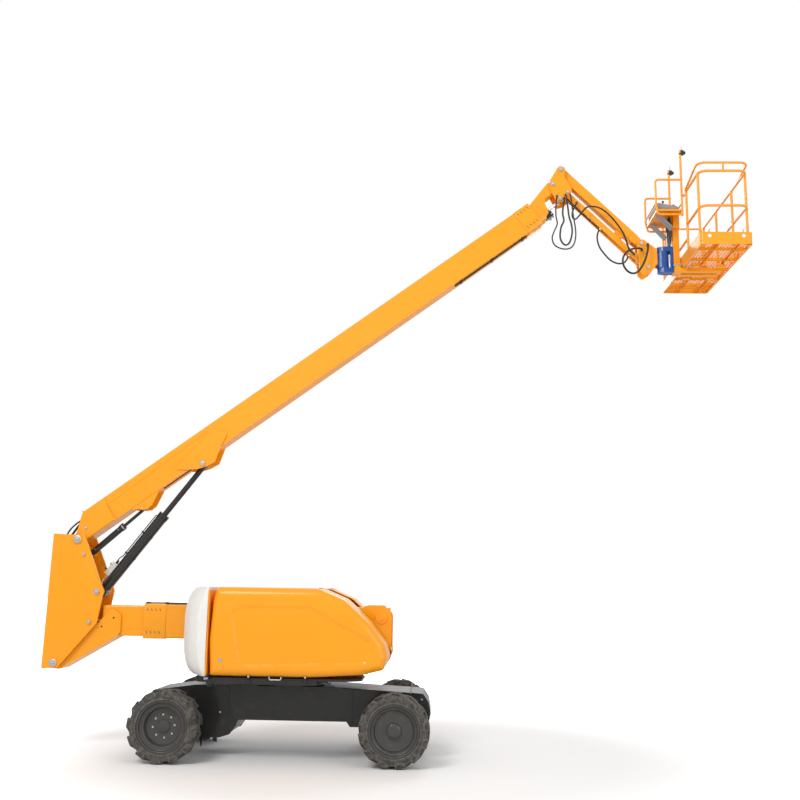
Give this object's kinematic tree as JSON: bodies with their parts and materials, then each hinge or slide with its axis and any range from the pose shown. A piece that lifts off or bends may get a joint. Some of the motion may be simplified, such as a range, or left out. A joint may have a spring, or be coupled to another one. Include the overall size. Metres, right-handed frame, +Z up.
{
  "type": "articulating boom lift",
  "caption": "Self-propelled articulating boom lift with a telescopic tower and main boom, a parallelogram jib and a railed work platform on a rotator, on a counterweighted turntable.",
  "frame": {"origin": "on the ground below the middle of the machine's bounding box", "axes": "+X from the tail towards the platform, +Y towards the right-hand side as seen in the picture's depth, +Z up"},
  "size_m": [10.2819, 2.49, 9.2403],
  "materials": {
    "machine_orange": "gloss",
    "chassis_black": "satin",
    "counterweight_white": "satin",
    "tyre_rubber": "matte",
    "rim_grey": "satin",
    "cylinder_black": "gloss",
    "rod_chrome": "polished",
    "rotator_blue": "gloss",
    "console_grey": "matte",
    "engine_grey": "satin",
    "block_grey": "matte",
    "hose_black": "matte"
  },
  "bodies": {
    "base": {"chassis": "chassis_black", "slew_bearing": "engine_grey", "front_axle": "chassis_black", "rear_axle": "chassis_black"},
    "knuckle_left": {"steering_knuckle_left": "chassis_black"},
    "knuckle_right": {"steering_knuckle_right": "chassis_black"},
    "front_left_wheel": {"wheel_front_left": "rim_grey", "tyre_front_left": "tyre_rubber"},
    "front_right_wheel": {"wheel_front_right": "rim_grey", "tyre_front_right": "tyre_rubber"},
    "rear_left_wheel": {"wheel_rear_left": "rim_grey", "tyre_rear_left": "tyre_rubber"},
    "rear_right_wheel": {"wheel_rear_right": "rim_grey", "tyre_rear_right": "tyre_rubber"},
    "turret": {"turntable": "machine_orange", "counterweight": "counterweight_white", "engine_block": "block_grey", "fluid_tank": "block_grey"},
    "left_hood": {"hood_left": "machine_orange"},
    "right_hood": {"hood_right": "machine_orange"},
    "tower": {"tower_base": "machine_orange"},
    "tower_inner": {"tower_fly": "machine_orange"},
    "tower_lift_cylinder": {"tower_lift_barrel": "cylinder_black"},
    "tower_lift_ram": {"tower_lift_rod": "rod_chrome"},
    "tower_level_cylinder": {"tower_level_barrel": "cylinder_black"},
    "tower_level_ram": {"tower_level_rod": "rod_chrome"},
    "upright_frame": {"upright": "machine_orange"},
    "boom": {"boom_base": "machine_orange"},
    "boom_inner": {"boom_fly": "machine_orange"},
    "boom_lift_cylinder": {"boom_lift_barrel": "cylinder_black"},
    "boom_lift_ram": {"boom_lift_rod": "cylinder_black"},
    "master_cylinder": {"boom_master_barrel": "cylinder_black"},
    "master_ram": {"boom_master_rod": "cylinder_black"},
    "slave_cylinder": {"boom_slave_barrel": "cylinder_black"},
    "slave_ram": {"boom_slave_rod": "rod_chrome"},
    "bracket": {"jib_bracket": "machine_orange", "nose_hose": "hose_black", "thin_hose": "hose_black"},
    "jib": {"jib_arm": "machine_orange"},
    "link": {"jib_link": "machine_orange", "arch_hose": "hose_black", "jib_hose": "hose_black"},
    "jib_cylinder": {"jib_lift_barrel": "cylinder_black"},
    "jib_ram": {"jib_lift_rod": "rod_chrome"},
    "jib_end": {"jib_knuckle": "machine_orange", "rotator_body": "rotator_blue", "head_hose": "hose_black"},
    "platform": {"rotator_yoke": "rotator_blue", "platform_mast": "machine_orange", "platform_floor": "machine_orange", "platform_rails": "machine_orange", "console_guard": "machine_orange", "control_console": "console_grey"},
    "gate": {"platform_gate": "machine_orange"}
  },
  "joints": [
    {"name": "slew", "type": "hinge", "parent": "base", "child": "turret", "pos_m": [-1.51128, 0, 1], "axis": [0, 0, 1], "continuous": true},
    {"name": "steer_left", "type": "hinge", "parent": "base", "child": "knuckle_left", "pos_m": [-3.07128, -0.8, 0.4825], "axis": [0, 0, 1], "range_deg": [-40, 40]},
    {"name": "front_left_wheel_spin", "type": "hinge", "parent": "knuckle_left", "child": "front_left_wheel", "pos_m": [-3.07128, -1.06, 0.4825], "axis": [0, 1, 0], "continuous": true},
    {"name": "rear_left_wheel_spin", "type": "hinge", "parent": "base", "child": "rear_left_wheel", "pos_m": [0.04872, -1.06, 0.4825], "axis": [0, 1, 0], "continuous": true},
    {"name": "left_hood_lift", "type": "hinge", "parent": "turret", "child": "left_hood", "pos_m": [-1.27128, -0.34, 2.345], "axis": [-1, 0, 0], "range_deg": [0, 75]},
    {"name": "steer_right", "type": "hinge", "parent": "base", "child": "knuckle_right", "pos_m": [-3.07128, 0.8, 0.4825], "axis": [0, 0, 1], "range_deg": [-41, 41]},
    {"name": "front_right_wheel_spin", "type": "hinge", "parent": "knuckle_right", "child": "front_right_wheel", "pos_m": [-3.07128, 1.06, 0.4825], "axis": [0, 1, 0], "continuous": true},
    {"name": "rear_right_wheel_spin", "type": "hinge", "parent": "base", "child": "rear_right_wheel", "pos_m": [0.04872, 1.06, 0.4825], "axis": [0, 1, 0], "continuous": true},
    {"name": "right_hood_lift", "type": "hinge", "parent": "turret", "child": "right_hood", "pos_m": [-1.27128, 0.34, 2.345], "axis": [1, 0, 0], "range_deg": [0, 75]},
    {"name": "tower_lift", "type": "hinge", "parent": "turret", "child": "tower", "pos_m": [-0.19128, 0, 1.94], "axis": [0, 1, 0], "range_deg": [0, 68]},
    {"name": "tower_extend", "type": "slide", "parent": "tower", "child": "tower_inner", "axis": [-1, 0, 0], "range_m": [0, 2]},
    {"name": "upright_level", "type": "hinge", "parent": "tower_inner", "child": "upright_frame", "pos_m": [-4.97128, 0, 1.22], "axis": [0, -1, 0], "range_deg": [-0.5, 68.5]},
    {"name": "tower_lift_swing", "type": "hinge", "parent": "turret", "child": "tower_lift_cylinder", "pos_m": [-0.62128, 0, 1.26], "axis": [0, 1, 0], "range_deg": [-1, 64.31]},
    {"name": "tower_lift_stroke", "type": "slide", "parent": "tower_lift_cylinder", "child": "tower_lift_ram", "axis": [-0.9847, 0, 0.1742], "range_m": [-0.005, 0.9011]},
    {"name": "tower_level_swing", "type": "hinge", "parent": "tower_inner", "child": "tower_level_cylinder", "pos_m": [-2.97128, 0, 1.85], "axis": [0, -1, 0], "range_deg": [-7.52, 1]},
    {"name": "tower_level_stroke", "type": "slide", "parent": "tower_level_cylinder", "child": "tower_level_ram", "axis": [-0.9996, 0, -0.0265], "range_m": [-0.01, 0.8593]},
    {"name": "boom_lift", "type": "hinge", "parent": "upright_frame", "child": "boom", "pos_m": [-4.74128, 0, 3.01], "axis": [0, -1, 0], "range_deg": [-41.3, 38.7]},
    {"name": "boom_extend", "type": "slide", "parent": "boom", "child": "boom_inner", "axis": [0.8059, 0, 0.592], "range_m": [0, 5]},
    {"name": "boom_lift_swing", "type": "hinge", "parent": "upright_frame", "child": "boom_lift_cylinder", "pos_m": [-4.40128, 0, 2.25], "axis": [0, -1, 0], "range_deg": [-36.29, 34.07]},
    {"name": "boom_lift_stroke", "type": "slide", "parent": "boom_lift_cylinder", "child": "boom_lift_ram", "axis": [0.6002, 0, 0.7999], "range_m": [-0.5266, 0.4941]},
    {"name": "master_swing", "type": "hinge", "parent": "upright_frame", "child": "master_cylinder", "pos_m": [-4.63128, 0, 2.79], "axis": [0, -1, 0], "range_deg": [-40.19, 37.73]},
    {"name": "master_stroke", "type": "slide", "parent": "master_cylinder", "child": "master_ram", "axis": [0.7448, 0, 0.6673], "range_m": [-0.1751, 0.1647]},
    {"name": "slave_swing", "type": "hinge", "parent": "boom_inner", "child": "slave_cylinder", "pos_m": [1.81405, 0, 7.93704], "axis": [0, -1, 0], "range_deg": [-3.63, 3.46]},
    {"name": "slave_stroke", "type": "slide", "parent": "slave_cylinder", "child": "slave_ram", "axis": [0.7989, 0, 0.6014], "range_m": [-0.1752, 0.1863]},
    {"name": "jib_level", "type": "hinge", "parent": "boom_inner", "child": "bracket", "pos_m": [2.39872, 0, 8.7], "axis": [0, -1, 0], "range_deg": [-39.2, 41.8]},
    {"name": "jib_lift", "type": "hinge", "parent": "bracket", "child": "jib", "pos_m": [2.52872, 0, 8.95], "axis": [0, -1, 0], "range_deg": [-10, 110]},
    {"name": "link_swing", "type": "hinge", "parent": "bracket", "child": "link", "pos_m": [2.62872, 0, 8.57], "axis": [0, -1, 0], "range_deg": [-10.5, 110.5]},
    {"name": "jib_cylinder_swing", "type": "hinge", "parent": "bracket", "child": "jib_cylinder", "pos_m": [2.62872, 0, 8.57], "axis": [0, -1, 0], "range_deg": [-11.3, 114.3]},
    {"name": "jib_stroke", "type": "slide", "parent": "jib_cylinder", "child": "jib_ram", "axis": [0.7273, 0, -0.6863], "range_m": [-0.0701, 0.6714]},
    {"name": "jib_end_level", "type": "hinge", "parent": "jib", "child": "jib_end", "pos_m": [3.76978, 0, 7.73042], "axis": [0, -1, 0], "range_deg": [-110.5, 10.5]},
    {"name": "platform_rotate", "type": "hinge", "parent": "jib_end", "child": "platform", "pos_m": [4.11878, 0, 7.5], "axis": [0, 0, 1], "range_deg": [-90, 90]},
    {"name": "gate_swing", "type": "hinge", "parent": "platform", "child": "gate", "pos_m": [5.06878, 1.155, 8], "axis": [0, 0, 1], "range_deg": [0, 90]}
  ],
  "couplings": [
    {"joint": "steer_right", "follows": "steer_left", "ratio": 1},
    {"joint": "upright_level", "follows": "tower_lift", "ratio": 1},
    {"joint": "tower_lift_swing", "follows": "tower_lift", "ratio": 0.931},
    {"joint": "tower_lift_stroke", "follows": "tower_lift", "m_per_rad": 0.755},
    {"joint": "tower_level_swing", "follows": "tower_lift", "ratio": -0.0959},
    {"joint": "tower_level_stroke", "follows": "tower_lift", "m_per_rad": 0.7156},
    {"joint": "boom_lift_swing", "follows": "boom_lift", "ratio": 0.8545},
    {"joint": "boom_lift_stroke", "follows": "boom_lift", "m_per_rad": 0.7167},
    {"joint": "master_swing", "follows": "boom_lift", "ratio": 0.949},
    {"joint": "master_stroke", "follows": "boom_lift", "m_per_rad": 0.2291},
    {"joint": "slave_swing", "follows": "boom_lift", "ratio": 0.0637},
    {"joint": "slave_stroke", "follows": "boom_lift", "m_per_rad": -0.2446},
    {"joint": "jib_level", "follows": "boom_lift", "ratio": -1},
    {"joint": "link_swing", "follows": "jib_lift", "ratio": 1},
    {"joint": "jib_cylinder_swing", "follows": "jib_lift", "ratio": 1.03},
    {"joint": "jib_stroke", "follows": "jib_lift", "m_per_rad": 0.3445},
    {"joint": "jib_end_level", "follows": "jib_lift", "ratio": -1}
  ]
}
